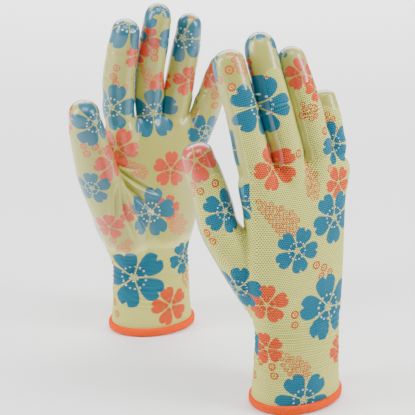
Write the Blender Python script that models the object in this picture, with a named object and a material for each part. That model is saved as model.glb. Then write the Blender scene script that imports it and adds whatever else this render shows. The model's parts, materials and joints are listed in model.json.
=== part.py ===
"""A pair of gardening gloves: a knitted liner with a dipped coating, standing upright on the hems.

Each glove is built in its own frame, in millimetres: +X towards the thumb, +Y out of the back of
the hand, +Z up towards the fingertips, with the origin in the middle of the hem. The left glove is
that frame mirrored, and the right one is it turned round, so the palms face each other. The liner
and the coating are divided where the glove bends: at each digit's knuckle and second joint.
"""

import math

import bmesh
import bpy
from mathutils import Matrix, Vector

MM = 0.001

# Cloth, coating and the clearance between touching pieces.
KNIT_WALL = 1.0
FILM_WALL = 0.4
CLEARANCE = 0.3
# The palm's curved facets need more room between the knit and the coating.
PALM_CLEARANCE = 0.7

# How far each digit's joints bend towards the palm, and back, in degrees.
FINGER_KNUCKLE_BEND = 50.0
FINGER_SECOND_BEND = 40.0
THUMB_KNUCKLE_BEND = 30.0
THUMB_SECOND_BEND = 30.0
BACKWARD_BEND = 10.0
BEND_MARGIN = 1.0
# Width of the slot left between two segments at the hinge line.
HINGE_SLOT = 0.8

# A digit is a little deeper than it is wide.
DIGIT_DEPTH_RATIO = 1.08
DIGIT_SIDES = 12
PALM_SIDES = 24
# Above 2, the palm's cross-section is squarer than an ellipse.
PALM_SQUARENESS = 2.4
# How far the hollow's cutter runs past the hand's open ends.
STUB_REACH = 6.0
# Where a stub's middle ring lies, as a share of the way from its start to the knuckle.
STUB_MIDDLE = 0.6

# A fingertip's sections: one on the way from the second joint to the pad, with its share of the
# change in width, and the rest on the way from the pad to the end, with their share of the width.
TIP_MIDDLE = (0.75, 0.6)
TIP_ROUNDING = [(0.15, 1.0), (0.55, 0.86), (0.85, 0.55)]

# The cuff: heights, and its half widths across and through the hand.
CUFF_TOP = 61.6
HAND_BOTTOM = 62.0
CUFF_SECTIONS = [
    (2.0, 30.0, 22.0),
    (6.0, 30.0, 22.0),
    (18.0, 28.2, 20.5),
    (40.0, 27.8, 19.5),
    (52.0, 28.0, 19.3),
    (CUFF_TOP, 29.6, 19.2),
]
CUFF_SIDES = 28

# The hem: an overlocked edge folded round the cuff's lower edge.
HEM_HEIGHT = 5.5
HEM_SIDE_WALL = 1.3
HEM_BASE = 1.7
HEM_ROUNDING = 0.5

# The elastic yarn laid in a helix against the inside of the cuff.
ELASTIC_RADIUS = 0.5
ELASTIC_BOTTOM = 12.0
ELASTIC_TOP = 54.0
ELASTIC_TURNS = 3
ELASTIC_POINTS_PER_TURN = 16
ELASTIC_BEVEL_STEPS = 2

# The coating: where it starts above the wrist, and how far round each part it reaches.
COATING_BOTTOM = 68.0
COATING_BACK_LIMIT = -2.0
BASE_FILM_ARC = (190.0, 350.0)
TIP_FILM_RISE = 13.0
# Side of the block that cuts the palm's coating off the back of the hand.
BACK_BLOCK = 100.0

# Edges that turn more than this, in degrees, are kept sharp.
SHARP_EDGE_ANGLE = 35.0

# Half widths of each digit at the knuckle, second joint and pad.
DIGIT_HALF_WIDTHS = {
    "thumb": (12.0, 11.0, 9.8),
    "index": (10.0, 8.9, 8.3),
    "middle": (8.9, 8.8, 8.3),
    "ring": (8.8, 8.6, 7.8),
    "little": (8.2, 7.9, 7.2),
}
FINGERS = ("index", "middle", "ring", "little")

# The way a digit's back faces. The thumb bends partly across the palm.
BACK_OF_FINGER = Vector((0.0, 1.0, 0.0))
BACK_OF_THUMB = Vector((0.4, 0.92, 0.0))

# Per glove: where it stands, its turn about the vertical, whether its palm faces the front, the
# points of each digit's centre line (root, knuckle, second joint, pad, end) and the palm's
# sections (height, little-finger side, thumb side, half depth).
GLOVES = {
    "left": {
        "stands_at": (-34.0, 54.0),
        "turn": 18.0,
        "palm_to_front": True,
        "digits": {
            "thumb": [
                (24, -9, 88), (41, -19.5, 126), (47.5, -27, 150), (51.3, -32, 167), (53, -36, 182),
            ],
            "index": [
                (20, 0, 138), (21.2, -1, 163), (21.5, -4, 189), (18.5, -11, 215), (16.8, -16, 229.5),
            ],
            "middle": [
                (0, 1, 138), (-1.2, 2, 163), (-1.2, -1, 192), (-4, -8.5, 219), (-5.6, -15, 239),
            ],
            "ring": [
                (-18, 1, 138), (-20.8, 2, 163), (-24.5, -0.5, 190), (-27.3, -7, 214),
                (-27.6, -12, 230.5),
            ],
            "little": [
                (-33, -1, 132), (-41.2, -3, 159), (-45.5, -6, 175.5), (-48.5, -9.5, 188),
                (-51.2, -13, 199.5),
            ],
        },
        "palm": [
            (HAND_BOTTOM, -27.6, 31.6, 19.0), (74, -31, 35, 19.0), (88, -34, 37, 18.5),
            (102, -33, 35, 18.0), (118, -35, 30, 16.5), (132, -39, 30, 15.0), (146, -44, 32, 13.0),
            (154, -46, 31, 10.5),
        ],
    },
    "right": {
        "stands_at": (65.0, -55.0),
        "turn": 28.0,
        "palm_to_front": False,
        "digits": {
            "thumb": [
                (28, -5, 85), (50, -13, 122), (54.5, -17.5, 145), (59, -20.5, 161), (62, -23, 174.5),
            ],
            "index": [
                (26, -1, 140), (34.5, -1, 167), (40.3, -6, 198), (43.3, -11.5, 216),
                (44.8, -16.5, 230),
            ],
            "middle": [
                (6, 1, 140), (12, 2, 167), (20.2, -0.5, 198), (23, -9, 220), (23.6, -16.5, 238.5),
            ],
            "ring": [
                (-12, 1, 140), (-9, 2, 166), (-2, 0, 192), (2.3, -8, 214), (3.2, -15, 228),
            ],
            "little": [
                (-26, -4, 138), (-25.8, -7, 162), (-24.2, -10, 180), (-23, -13, 190),
                (-23, -16, 198.5),
            ],
        },
        "palm": [
            (HAND_BOTTOM, -27.2, 32.0, 19.0), (76, -27, 37, 19.0), (91, -27, 40, 18.5),
            (105, -27, 39, 18.0), (120, -27, 37, 16.5), (134, -28, 38, 15.0), (148, -30, 41, 13.0),
            (157.5, -31, 42, 10.5),
        ],
    },
}

# Centring of the pair: the middle of its own box stands over the origin.
PAIR_OFFSET = (-5.46, 1.81)

# Colours (red, green, blue, alpha), and how rough each surface is.
KNIT_COLOUR = (0.74, 0.72, 0.36, 1.0)
FILM_COLOUR = (0.70, 0.72, 0.46, 1.0)
HEM_COLOUR = (1.0, 0.20, 0.02, 1.0)
ELASTIC_COLOUR = (0.85, 0.84, 0.76, 1.0)
KNIT_ROUGHNESS = 0.8
FILM_ROUGHNESS = 0.2
THREAD_ROUGHNESS = 0.7


def clear_scene():
    """Remove the objects that a new file starts with."""
    for thing in list(bpy.data.objects):
        bpy.data.objects.remove(thing, do_unlink=True)


def make_collection(name):
    """Make a collection in the scene."""
    collection = bpy.data.collections.new(name)
    bpy.context.scene.collection.children.link(collection)
    return collection


def make_material(name, colour, roughness):
    """Make a plain Principled material."""
    material = bpy.data.materials.new(name)
    material.use_nodes = True
    shader = material.node_tree.nodes["Principled BSDF"]
    shader.inputs["Base Color"].default_value = colour
    shader.inputs["Roughness"].default_value = roughness
    shader.inputs["Metallic"].default_value = 0.0
    material.diffuse_color = colour
    return material


def glove_matrix(glove):
    """From the glove's own frame in millimetres to the pair's frame in metres."""
    facing = 1.0 if glove["palm_to_front"] else -1.0
    flip = Matrix.Diagonal((-1.0, facing, 1.0, 1.0))
    turn = Matrix.Rotation(math.radians(glove["turn"]), 4, "Z")
    x, y = glove["stands_at"]
    place = Matrix.Translation((x + PAIR_OFFSET[0], y + PAIR_OFFSET[1], 0.0))
    return Matrix.Scale(MM, 4) @ place @ turn @ flip


def finish_mesh(name, mesh_builder, to_world, material, collection, pivot=None):
    """Turn a bmesh in the glove's frame into a named object with its origin on its joint axis."""
    bmesh.ops.transform(mesh_builder, matrix=to_world, verts=mesh_builder.verts)
    bmesh.ops.triangulate(mesh_builder, faces=mesh_builder.faces)
    bmesh.ops.recalc_face_normals(mesh_builder, faces=mesh_builder.faces)
    if mesh_builder.calc_volume(signed=True) < 0.0:
        bmesh.ops.reverse_faces(mesh_builder, faces=mesh_builder.faces)
    origin = Vector((0.0, 0.0, 0.0)) if pivot is None else to_world @ pivot
    bmesh.ops.translate(mesh_builder, verts=mesh_builder.verts, vec=-origin)
    mesh = bpy.data.meshes.new(name)
    mesh_builder.to_mesh(mesh)
    mesh_builder.free()
    mesh.shade_smooth()
    mesh.set_sharp_from_angle(angle=math.radians(SHARP_EDGE_ANGLE))
    piece = bpy.data.objects.new(name, mesh)
    piece.location = origin
    piece.data.materials.append(material)
    collection.objects.link(piece)
    return piece


# ---------------------------------------------------------------- lofts


def spread(start, end, count):
    """Evenly spaced values, both ends included."""
    return [start + (end - start) * step / (count - 1) for step in range(count)]


def full_circle(sides):
    """Angles once round, the first not repeated."""
    return [2.0 * math.pi * step / sides for step in range(sides)]


def add_loop(mesh_builder, points):
    """Add one ring of vertices."""
    return [mesh_builder.verts.new(point) for point in points]


def bridge(mesh_builder, first, second, closed):
    """Join two rings of vertices with quads."""
    count = len(first)
    for step in range(count if closed else count - 1):
        after = (step + 1) % count
        mesh_builder.faces.new((first[step], first[after], second[after], second[step]))


def cap_with_fan(mesh_builder, ring, centre):
    """Close a ring with triangles that meet at a centre point."""
    middle = mesh_builder.verts.new(centre)
    count = len(ring)
    for step in range(count):
        mesh_builder.faces.new((ring[step], ring[(step + 1) % count], middle))


def solid_loft(rings, start_centre, end_centre):
    """A closed solid through rings of points, capped at both ends."""
    mesh_builder = bmesh.new()
    loops = [add_loop(mesh_builder, ring) for ring in rings]
    for first, second in zip(loops, loops[1:]):
        bridge(mesh_builder, first, second, True)
    cap_with_fan(mesh_builder, loops[0], start_centre)
    cap_with_fan(mesh_builder, loops[-1], end_centre)
    return mesh_builder


def shell_loft(outer, inner, closed=True, outer_end=None, inner_end=None):
    """A shell between outer and inner rings.

    The rings run once round (closed), or cover an arc. With outer_end and inner_end the far end is
    a closed tip, and without them it is an open rim.
    """
    mesh_builder = bmesh.new()
    outside = [add_loop(mesh_builder, ring) for ring in outer]
    inside = [add_loop(mesh_builder, ring) for ring in inner]
    for loops in (outside, inside):
        for first, second in zip(loops, loops[1:]):
            bridge(mesh_builder, first, second, closed)
    bridge(mesh_builder, outside[0], inside[0], closed)
    if outer_end is None:
        bridge(mesh_builder, outside[-1], inside[-1], closed)
    else:
        cap_with_fan(mesh_builder, outside[-1], outer_end)
        cap_with_fan(mesh_builder, inside[-1], inner_end)
    if not closed:
        for side in (0, -1):
            outer_edge = [loop[side] for loop in outside]
            inner_edge = [loop[side] for loop in inside]
            bridge(mesh_builder, outer_edge, inner_edge, False)
    return mesh_builder


# ---------------------------------------------------------------- digits


class Digit:
    """One digit's centre line, hinge axis and cross-sections, in the glove's frame."""

    def __init__(self, name, points):
        self.name = name
        self.root, self.knuckle, self.second, self.pad, self.end = [Vector(point) for point in points]
        self.widths = DIGIT_HALF_WIDTHS[name]
        is_thumb = name == "thumb"
        back = BACK_OF_THUMB if is_thumb else BACK_OF_FINGER
        self.axis = back.cross(self.end - self.knuckle).normalized()
        self.knuckle_bend = THUMB_KNUCKLE_BEND if is_thumb else FINGER_KNUCKLE_BEND
        self.second_bend = THUMB_SECOND_BEND if is_thumb else FINGER_SECOND_BEND

    def along(self, *points):
        """The centre line's mean direction through the points, square to the hinge axis."""
        direction = Vector((0.0, 0.0, 0.0))
        for first, second in zip(points, points[1:]):
            direction += (second - first).normalized()
        direction -= self.axis * direction.dot(self.axis)
        return direction.normalized()

    @property
    def knuckle_direction(self):
        return self.along(self.root, self.knuckle, self.second)

    @property
    def second_direction(self):
        return self.along(self.knuckle, self.second, self.pad)

    @property
    def pad_direction(self):
        return self.along(self.second, self.pad, self.end)

    def ring(self, centre, direction, half_width, offset, angles, lift=None):
        """Points round the digit, offset outwards from its knitted surface.

        lift gives each point's shift along the digit from its distance towards the back.
        """
        backward = direction.cross(self.axis)
        wide = half_width + offset
        deep = half_width * DIGIT_DEPTH_RATIO + offset
        points = []
        for angle in angles:
            depth = deep * math.sin(angle)
            point = centre + self.axis * (wide * math.cos(angle)) + backward * depth
            if lift is not None:
                point = point + direction * lift(depth)
            points.append(point)
        return points


def wedge_lift(bend, sign):
    """One face of the wedge-shaped slot that lets two segments bend about a hinge line."""
    palm_slope = math.tan(math.radians(bend / 2.0 + BEND_MARGIN))
    back_slope = math.tan(math.radians(BACKWARD_BEND / 2.0 + BEND_MARGIN))

    def lift(depth):
        slope = palm_slope if depth < 0.0 else back_slope
        return sign * (HINGE_SLOT / 2.0 + abs(depth) * slope)

    return lift


def base_rings(digit, offset, angles):
    """The segment from the knuckle to the second joint."""
    knuckle_width, second_width, _ = digit.widths
    middle = (digit.knuckle + digit.second) / 2.0
    middle_width = (knuckle_width + second_width) / 2.0
    middle_direction = digit.along(digit.knuckle, digit.second)
    lower = wedge_lift(digit.knuckle_bend, 1.0)
    upper = wedge_lift(digit.second_bend, -1.0)
    return [
        digit.ring(digit.knuckle, digit.knuckle_direction, knuckle_width, offset, angles, lower),
        digit.ring(middle, middle_direction, middle_width, offset, angles),
        digit.ring(digit.second, digit.second_direction, second_width, offset, angles, upper),
    ]


def tip_rings(digit, offset, angles, back_rise=0.0):
    """The segment from the second joint to just short of the end, which is rounded.

    back_rise raises the lower edge on the back of the digit, as the coating's edge is.
    """
    _, second_width, pad_width = digit.widths
    wedge = wedge_lift(digit.second_bend, 1.0)
    deepest = second_width * DIGIT_DEPTH_RATIO

    def lower(depth):
        return wedge(depth) + back_rise * max(0.0, depth / deepest)

    rings = [digit.ring(digit.second, digit.second_direction, second_width, offset, angles, lower)]
    middle_share, change_share = TIP_MIDDLE
    middle = digit.second.lerp(digit.pad, middle_share)
    middle_width = second_width + (pad_width - second_width) * change_share
    middle_direction = digit.along(digit.second, digit.pad)
    rings.append(digit.ring(middle, middle_direction, middle_width, offset, angles))
    tip_direction = digit.along(digit.pad, digit.end)
    for share, width_share in TIP_ROUNDING:
        centre = digit.pad.lerp(digit.end, share)
        rings.append(digit.ring(centre, tip_direction, pad_width * width_share, offset, angles))
    return rings


def tip_end(digit, offset):
    """The digit's outermost point, offset outwards."""
    return digit.end + digit.along(digit.pad, digit.end) * offset


def make_base_segment(side, digit, to_world, materials, collection):
    """The knitted tube and the coating between the knuckle and the second joint."""
    circle = full_circle(DIGIT_SIDES)
    knit = shell_loft(base_rings(digit, 0.0, circle), base_rings(digit, -KNIT_WALL, circle))
    name = f"{side}_{digit.name}_base_knit"
    finish_mesh(name, knit, to_world, materials["knit"], collection, digit.knuckle)
    start, end = BASE_FILM_ARC
    arc = [math.radians(angle) for angle in spread(start, end, DIGIT_SIDES // 2 + 1)]
    outer = base_rings(digit, CLEARANCE + FILM_WALL, arc)
    inner = base_rings(digit, CLEARANCE, arc)
    film = shell_loft(outer, inner, closed=False)
    name = f"{side}_{digit.name}_base_coating"
    finish_mesh(name, film, to_world, materials["film"], collection, digit.knuckle)


def make_tip_segment(side, digit, to_world, materials, collection):
    """The closed fingertip and the coating round it."""
    circle = full_circle(DIGIT_SIDES)
    knit = shell_loft(
        tip_rings(digit, 0.0, circle),
        tip_rings(digit, -KNIT_WALL, circle),
        outer_end=tip_end(digit, 0.0),
        inner_end=tip_end(digit, -KNIT_WALL),
    )
    name = f"{side}_{digit.name}_tip_knit"
    finish_mesh(name, knit, to_world, materials["knit"], collection, digit.second)
    film = shell_loft(
        tip_rings(digit, CLEARANCE + FILM_WALL, circle, TIP_FILM_RISE),
        tip_rings(digit, CLEARANCE, circle, TIP_FILM_RISE),
        outer_end=tip_end(digit, CLEARANCE + FILM_WALL),
        inner_end=tip_end(digit, CLEARANCE),
    )
    name = f"{side}_{digit.name}_tip_coating"
    finish_mesh(name, film, to_world, materials["film"], collection, digit.second)


# ---------------------------------------------------------------- hand


def palm_ring(section, offset):
    """The palm's rounded-rectangle section, offset outwards."""
    level, little_side, thumb_side, half_depth = section
    middle = (little_side + thumb_side) / 2.0
    wide = (thumb_side - little_side) / 2.0 + offset
    deep = half_depth + offset
    power = 2.0 / PALM_SQUARENESS
    points = []
    for angle in full_circle(PALM_SIDES):
        across = math.copysign(abs(math.cos(angle)) ** power, math.cos(angle))
        through = math.copysign(abs(math.sin(angle)) ** power, math.sin(angle))
        points.append(Vector((middle + wide * across, deep * through, level)))
    return points


def sections_from(sections, level):
    """The palm's sections from a level up, read between two of them or carried straight down."""
    lowest = sections[0]
    if level <= lowest[0]:
        start = (level, *lowest[1:])
    else:
        lower, upper = next(pair for pair in zip(sections, sections[1:]) if pair[1][0] > level)
        share = (level - lower[0]) / (upper[0] - lower[0])
        start = tuple(low + (high - low) * share for low, high in zip(lower, upper))
    return [start] + [section for section in sections if section[0] > level]


def palm_solid(sections, offset, lower_end):
    """The palm as a closed solid, offset outwards from the knitted surface."""
    sections = sections_from(sections, lower_end)
    level, *sides = sections[-1]
    sections[-1] = (level + offset, *sides)
    rings = [palm_ring(section, offset) for section in sections]
    middle = (sides[0] + sides[1]) / 2.0
    return solid_loft(rings, Vector((middle, 0.0, lower_end)), Vector((middle, 0.0, level + offset)))


def stub_solid(digit, offset, reach=0.0):
    """The part of a digit that belongs to the hand, up to the knuckle's slot.

    reach carries it on past the slot, for cutting the hollow through it.
    """
    circle = full_circle(DIGIT_SIDES)
    knuckle_width = digit.widths[0]
    direction = digit.knuckle_direction
    start_direction = digit.along(digit.root, digit.knuckle)
    start = digit.root - start_direction * offset
    middle = start.lerp(digit.knuckle, STUB_MIDDLE)
    lower = wedge_lift(digit.knuckle_bend, -1.0)
    rings = [
        digit.ring(start, start_direction, knuckle_width, offset, circle),
        digit.ring(middle, start_direction, knuckle_width, offset, circle),
        digit.ring(digit.knuckle, direction, knuckle_width, offset, circle, lower),
    ]
    end = digit.knuckle - direction * (HINGE_SLOT / 2.0)
    if reach > 0.0:
        end = digit.knuckle + direction * reach
        rings[-1] = digit.ring(digit.knuckle, direction, knuckle_width, offset, circle)
        rings.append(digit.ring(end, direction, knuckle_width, offset, circle))
    return solid_loft(rings, start, end)


def add_boolean(piece, operation, cutter):
    """Add an exact Boolean with one operand."""
    boolean = piece.modifiers.new(operation.title(), "BOOLEAN")
    boolean.operation = operation
    boolean.object = cutter
    boolean.solver = "EXACT"


def make_cutter(name, mesh_builder, to_world, material, collection):
    """A helper solid that the build leaves out."""
    cutter = finish_mesh(name, mesh_builder, to_world, material, collection)
    cutter.hide_render = True
    cutter.display_type = "WIRE"
    return cutter


def join_stubs(piece, digits, offset, reach, to_world, material, cutters):
    """Unite a palm solid with all its digits' stubs."""
    for digit in digits:
        stub = stub_solid(digit, offset, reach)
        cutter = make_cutter(f"{piece.name}_stub_{digit.name}", stub, to_world, material, cutters)
        add_boolean(piece, "UNION", cutter)


def hollow_hand(name, sections, digits, offsets, floor, to_world, material, parts, cutters):
    """The palm and the digits' stubs joined at one offset, and hollowed by the same at another."""
    outside, inside = offsets
    piece = finish_mesh(name, palm_solid(sections, outside, floor), to_world, material, parts)
    join_stubs(piece, digits, outside, 0.0, to_world, material, cutters)
    below = palm_solid(sections, inside, floor - STUB_REACH)
    hollow = make_cutter(f"{name}_hollow", below, to_world, material, cutters)
    join_stubs(hollow, digits, inside, STUB_REACH, to_world, material, cutters)
    add_boolean(piece, "DIFFERENCE", hollow)
    return piece


def make_hand(side, glove, digits, to_world, materials, parts, cutters):
    """The knitted hand and the coating over its palm."""
    sections = glove["palm"]
    name = f"{side}_hand_knit"
    offsets = (0.0, -KNIT_WALL)
    hollow_hand(
        name, sections, digits, offsets, HAND_BOTTOM, to_world, materials["knit"], parts, cutters
    )
    name = f"{side}_palm_coating"
    offsets = (PALM_CLEARANCE + FILM_WALL, PALM_CLEARANCE)
    coating = hollow_hand(
        name, sections, digits, offsets, COATING_BOTTOM, to_world, materials["film"], parts, cutters
    )
    block = bmesh.new()
    bmesh.ops.create_cube(block, size=BACK_BLOCK)
    bmesh.ops.scale(block, vec=(2.0, 1.0, 2.0), verts=block.verts)
    middle = Vector((0.0, COATING_BACK_LIMIT + BACK_BLOCK / 2.0, COATING_BOTTOM + BACK_BLOCK / 2.0))
    bmesh.ops.translate(block, vec=middle, verts=block.verts)
    back = make_cutter(f"{name}_back", block, to_world, materials["film"], cutters)
    add_boolean(coating, "DIFFERENCE", back)


# ---------------------------------------------------------------- cuff, hem and elastic


def oval(wide, deep, height, sides):
    """A level oval ring."""
    return [Vector((wide * math.cos(a), deep * math.sin(a), height)) for a in full_circle(sides)]


def cuff_half_widths(height):
    """The cuff's half widths at a height, read between its sections."""
    for lower, upper in zip(CUFF_SECTIONS, CUFF_SECTIONS[1:]):
        if height <= upper[0]:
            share = max(0.0, (height - lower[0]) / (upper[0] - lower[0]))
            return tuple(low + (high - low) * share for low, high in zip(lower[1:], upper[1:]))
    return CUFF_SECTIONS[-1][1:]


def cuff_shift(glove, height):
    """The cuff leans, above the hem, to meet the palm's lowest section, which is off centre."""
    _, little_side, thumb_side, _ = glove["palm"][0]
    share = max(0.0, (height - HEM_HEIGHT) / (HAND_BOTTOM - HEM_HEIGHT))
    return (little_side + thumb_side) / 2.0 * share


def make_cuff(side, glove, to_world, materials, parts):
    """The knitted cuff, open at both ends."""
    outer = []
    inner = []
    for height, wide, deep in CUFF_SECTIONS:
        shift = Vector((cuff_shift(glove, height), 0.0, 0.0))
        outside = oval(wide, deep, height, CUFF_SIDES)
        inside = oval(wide - KNIT_WALL, deep - KNIT_WALL, height, CUFF_SIDES)
        outer.append([point + shift for point in outside])
        inner.append([point + shift for point in inside])
    finish_mesh(f"{side}_cuff_knit", shell_loft(outer, inner), to_world, materials["knit"], parts)


def make_hem(side, to_world, materials, parts):
    """The overlocked hem: a channel that the cuff's lower edge sits in, flat underneath."""
    _, wide, deep = CUFF_SECTIONS[0]
    slot_in = -KNIT_WALL - CLEARANCE
    slot_out = CLEARANCE
    out = slot_out + HEM_SIDE_WALL
    back = slot_in - HEM_SIDE_WALL
    top = HEM_HEIGHT - HEM_ROUNDING
    profile = [
        (back + HEM_ROUNDING, 0.0),
        (out - HEM_ROUNDING, 0.0),
        (out, HEM_ROUNDING),
        (out, top),
        (out - HEM_ROUNDING, HEM_HEIGHT),
        (slot_out, HEM_HEIGHT),
        (slot_out, HEM_BASE),
        (slot_in, HEM_BASE),
        (slot_in, HEM_HEIGHT),
        (back + HEM_ROUNDING, HEM_HEIGHT),
        (back, top),
        (back, HEM_ROUNDING),
    ]
    mesh_builder = bmesh.new()
    rings = []
    for shift, height in profile:
        rings.append(add_loop(mesh_builder, oval(wide + shift, deep + shift, height, CUFF_SIDES)))
    for first, second in zip(rings, rings[1:] + rings[:1]):
        bridge(mesh_builder, first, second, True)
    finish_mesh(f"{side}_hem_overlock", mesh_builder, to_world, materials["hem"], parts)


def make_elastic(side, glove, to_world, materials, parts):
    """The elastic yarn, a helix just inside the cuff."""
    curve = bpy.data.curves.new(f"{side}_cuff_elastic", "CURVE")
    curve.dimensions = "3D"
    curve.bevel_depth = ELASTIC_RADIUS * MM
    curve.bevel_resolution = ELASTIC_BEVEL_STEPS
    curve.use_fill_caps = True
    count = ELASTIC_TURNS * ELASTIC_POINTS_PER_TURN + 1
    spline = curve.splines.new("POLY")
    spline.points.add(count - 1)
    inset = KNIT_WALL + CLEARANCE + ELASTIC_RADIUS + CLEARANCE
    for step in range(count):
        share = step / (count - 1)
        height = ELASTIC_BOTTOM + (ELASTIC_TOP - ELASTIC_BOTTOM) * share
        wide, deep = cuff_half_widths(height)
        angle = 2.0 * math.pi * ELASTIC_TURNS * share
        across = cuff_shift(glove, height) + (wide - inset) * math.cos(angle)
        point = to_world @ Vector((across, (deep - inset) * math.sin(angle), height))
        spline.points[step].co = (*point, 1.0)
    piece = bpy.data.objects.new(f"{side}_cuff_elastic", curve)
    curve.materials.append(materials["elastic"])
    parts.objects.link(piece)


def make_glove(side, glove, materials, parts, cutters):
    """All the pieces of one glove."""
    to_world = glove_matrix(glove)
    digits = [Digit(name, points) for name, points in glove["digits"].items()]
    make_cuff(side, glove, to_world, materials, parts)
    make_hem(side, to_world, materials, parts)
    make_elastic(side, glove, to_world, materials, parts)
    make_hand(side, glove, digits, to_world, materials, parts, cutters)
    for digit in digits:
        make_base_segment(side, digit, to_world, materials, parts)
        make_tip_segment(side, digit, to_world, materials, parts)


def main():
    clear_scene()
    parts = make_collection("gardening_gloves")
    cutters = make_collection("cutters")
    materials = {
        "knit": make_material("knit", KNIT_COLOUR, KNIT_ROUGHNESS),
        "film": make_material("coating", FILM_COLOUR, FILM_ROUGHNESS),
        "hem": make_material("hem", HEM_COLOUR, THREAD_ROUGHNESS),
        "elastic": make_material("elastic", ELASTIC_COLOUR, THREAD_ROUGHNESS),
    }
    for side, glove in GLOVES.items():
        make_glove(side, glove, materials, parts, cutters)


main()
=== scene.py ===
"""Looks for the pair of gardening gloves: a printed knitted liner, a clear dipped coating over the
palm side, an orange overlocked hem. Each glove's surface is shaped in its own frame in millimetres
(+X towards the thumb, +Y out of the back of the hand, +Z up) and then placed on the CAD frame.
"""

import json
import math

import bmesh
import bpy
import numpy as np
from mathutils import Matrix, Vector
from mathutils.bvhtree import BVHTree


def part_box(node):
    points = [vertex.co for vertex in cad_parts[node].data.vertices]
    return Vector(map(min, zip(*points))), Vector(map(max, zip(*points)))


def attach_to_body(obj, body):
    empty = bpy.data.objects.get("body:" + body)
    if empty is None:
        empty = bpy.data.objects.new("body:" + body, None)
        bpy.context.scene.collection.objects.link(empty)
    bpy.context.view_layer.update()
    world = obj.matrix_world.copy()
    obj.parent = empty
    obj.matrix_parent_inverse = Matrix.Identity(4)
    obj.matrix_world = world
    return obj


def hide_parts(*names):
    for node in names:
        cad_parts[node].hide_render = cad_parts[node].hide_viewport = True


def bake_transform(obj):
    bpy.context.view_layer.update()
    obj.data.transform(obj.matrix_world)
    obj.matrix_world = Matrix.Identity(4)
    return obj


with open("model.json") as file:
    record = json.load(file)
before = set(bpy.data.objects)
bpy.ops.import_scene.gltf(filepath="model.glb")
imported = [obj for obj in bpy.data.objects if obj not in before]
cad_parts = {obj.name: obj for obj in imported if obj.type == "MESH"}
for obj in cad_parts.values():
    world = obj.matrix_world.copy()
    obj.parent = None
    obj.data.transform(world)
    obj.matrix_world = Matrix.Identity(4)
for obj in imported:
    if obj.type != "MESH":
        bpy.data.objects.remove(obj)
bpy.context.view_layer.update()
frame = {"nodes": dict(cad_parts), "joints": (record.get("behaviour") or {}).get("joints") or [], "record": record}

MM = 0.001
SIDES = ("left", "right")
FINGERS = ("index", "middle", "ring", "little")
DIGITS = ("thumb",) + FINGERS

# -------- sizes, in millimetres

# Size of the surface's quads, and rounds of smoothing after the parts are fused.
VOXEL = 0.8
SMOOTHING_ROUNDS = 12
# The gap kept between the centre stretches of neighbouring fingers.
FINGER_GAP = 1.8
GAP_BELOW_KNUCKLE = 6.0
# The gap left between two fingers at their roots, how far below the knuckles that starts, how far off
# a neighbour may be, and the distance along the fingers over which the gap opens again.
ROOT_GAP = 0.45
ROOTS_BELOW_KNUCKLES = 14.0
GAP_SEARCH = 4.0
ROOT_GAP_OPENS = {"left": (6.0, 26.0), "right": (28.0, 56.0)}
# Points round each ring of a digit and of the palm.
DIGIT_SIDES = 40
PALM_SIDES = 96

# Half widths at the knuckle, second joint and pad.
HALF_WIDTHS = {
    "left": {"thumb": (14.1, 12.3, 10.1), "index": (11.3, 10.7, 9.5), "middle": (10.3, 10.1, 9.2),
             "ring": (10.1, 9.8, 8.6), "little": (9.4, 9.0, 8.2)},
    "right": {"thumb": (12.0, 11.2, 9.9), "index": (10.8, 10.4, 9.8), "middle": (10.2, 9.9, 9.5),
              "ring": (9.8, 9.2, 8.8), "little": (9.0, 8.6, 7.8)},
}
# Height, half width across and half depth through the cuff.
CUFF_SECTIONS = [(-4, 30.2, 21.8), (4, 30.1, 21.7), (11, 29.6, 21.2), (20, 28.8, 20.5), (34, 28.2, 19.8),
                 (48, 27.9, 19.3)]
CUFF_WIDEN = {"left": 1.005, "right": 1.04}
# Up the palm: height, little-finger side and thumb side. The depths of the palm side and of the back
# at each of those heights are the same on both gloves.
PALM_SECTIONS = {
    "left": [(56, -27.4, 30.0), (64, -29.0, 33.0), (74, -31.8, 37.6), (88, -35.0, 41.6),
             (102, -34.4, 40.0), (118, -36.0, 32.5), (132, -39.8, 30.8), (143, -44.0, 32.0),
             (151, -45.0, 31.5), (156, -41.0, 27.0), (159, -36.0, 22.0)],
    "right": [(56, -28.8, 30.2), (64, -29.8, 32.0), (76, -30.2, 36.0), (91, -30.4, 39.0),
              (105, -30.4, 39.5), (120, -30.4, 38.8), (134, -31.0, 40.0), (147, -33.5, 43.2),
              (155, -33.6, 43.6), (160, -29.0, 39.0), (163, -24.0, 34.0)],
}
PALM_DEPTHS = [(18.8, 18.6), (18.6, 18.0), (19.0, 17.0), (18.0, 16.5), (15.5, 16.0), (14.0, 15.5),
               (12.6, 14.0), (10.8, 12.0), (8.6, 9.6), (6.0, 6.8), (3.0, 3.5)]
# How square the palm's section is, where 2 is an ellipse.
PALM_SQUARENESS = 2.35
SQUARE_FROM, SQUARE_FULL = 40.0, 90.0
# Where the thumb's muscle starts, above the wrist, and its radius from there to the knuckle.
THENAR_START = (14.0, -5.0, 58.0)
THENAR_RADII = {"left": (13.0, 15.4, 15.0), "right": (12.0, 13.6, 13.2)}

# Where the wrist's middle is, and how far from the knuckle towards it a finger's line starts.
WRIST = (0.0, 0.0, 60.0)
ROOT_SHARE = 0.26
# Slices of a digit's last bone, as shares of it, that give the middle of the bone and the pad.
MIDDLE_SLICE = (0.28, 0.5)
PAD_SLICE = (0.5, 0.75)
# Steps of the curve between two given rings, along a digit and up the palm.
DIGIT_STEPS = 5
PALM_STEPS = 4
# Depth of a digit to its width. The tip starts at a share of the way from pad to end, a little
# narrower than the pad, and closes through rings at these shares of what is left.
DIGIT_DEPTH = 1.04
TIP_START = 0.35
TIP_NARROWER = 0.97
TIP_SHARES = (0.25, 0.48, 0.68, 0.84, 0.94, 0.985)
TIP_ROUNDNESS = 2.3

HEM_TOP = 6.0
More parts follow.
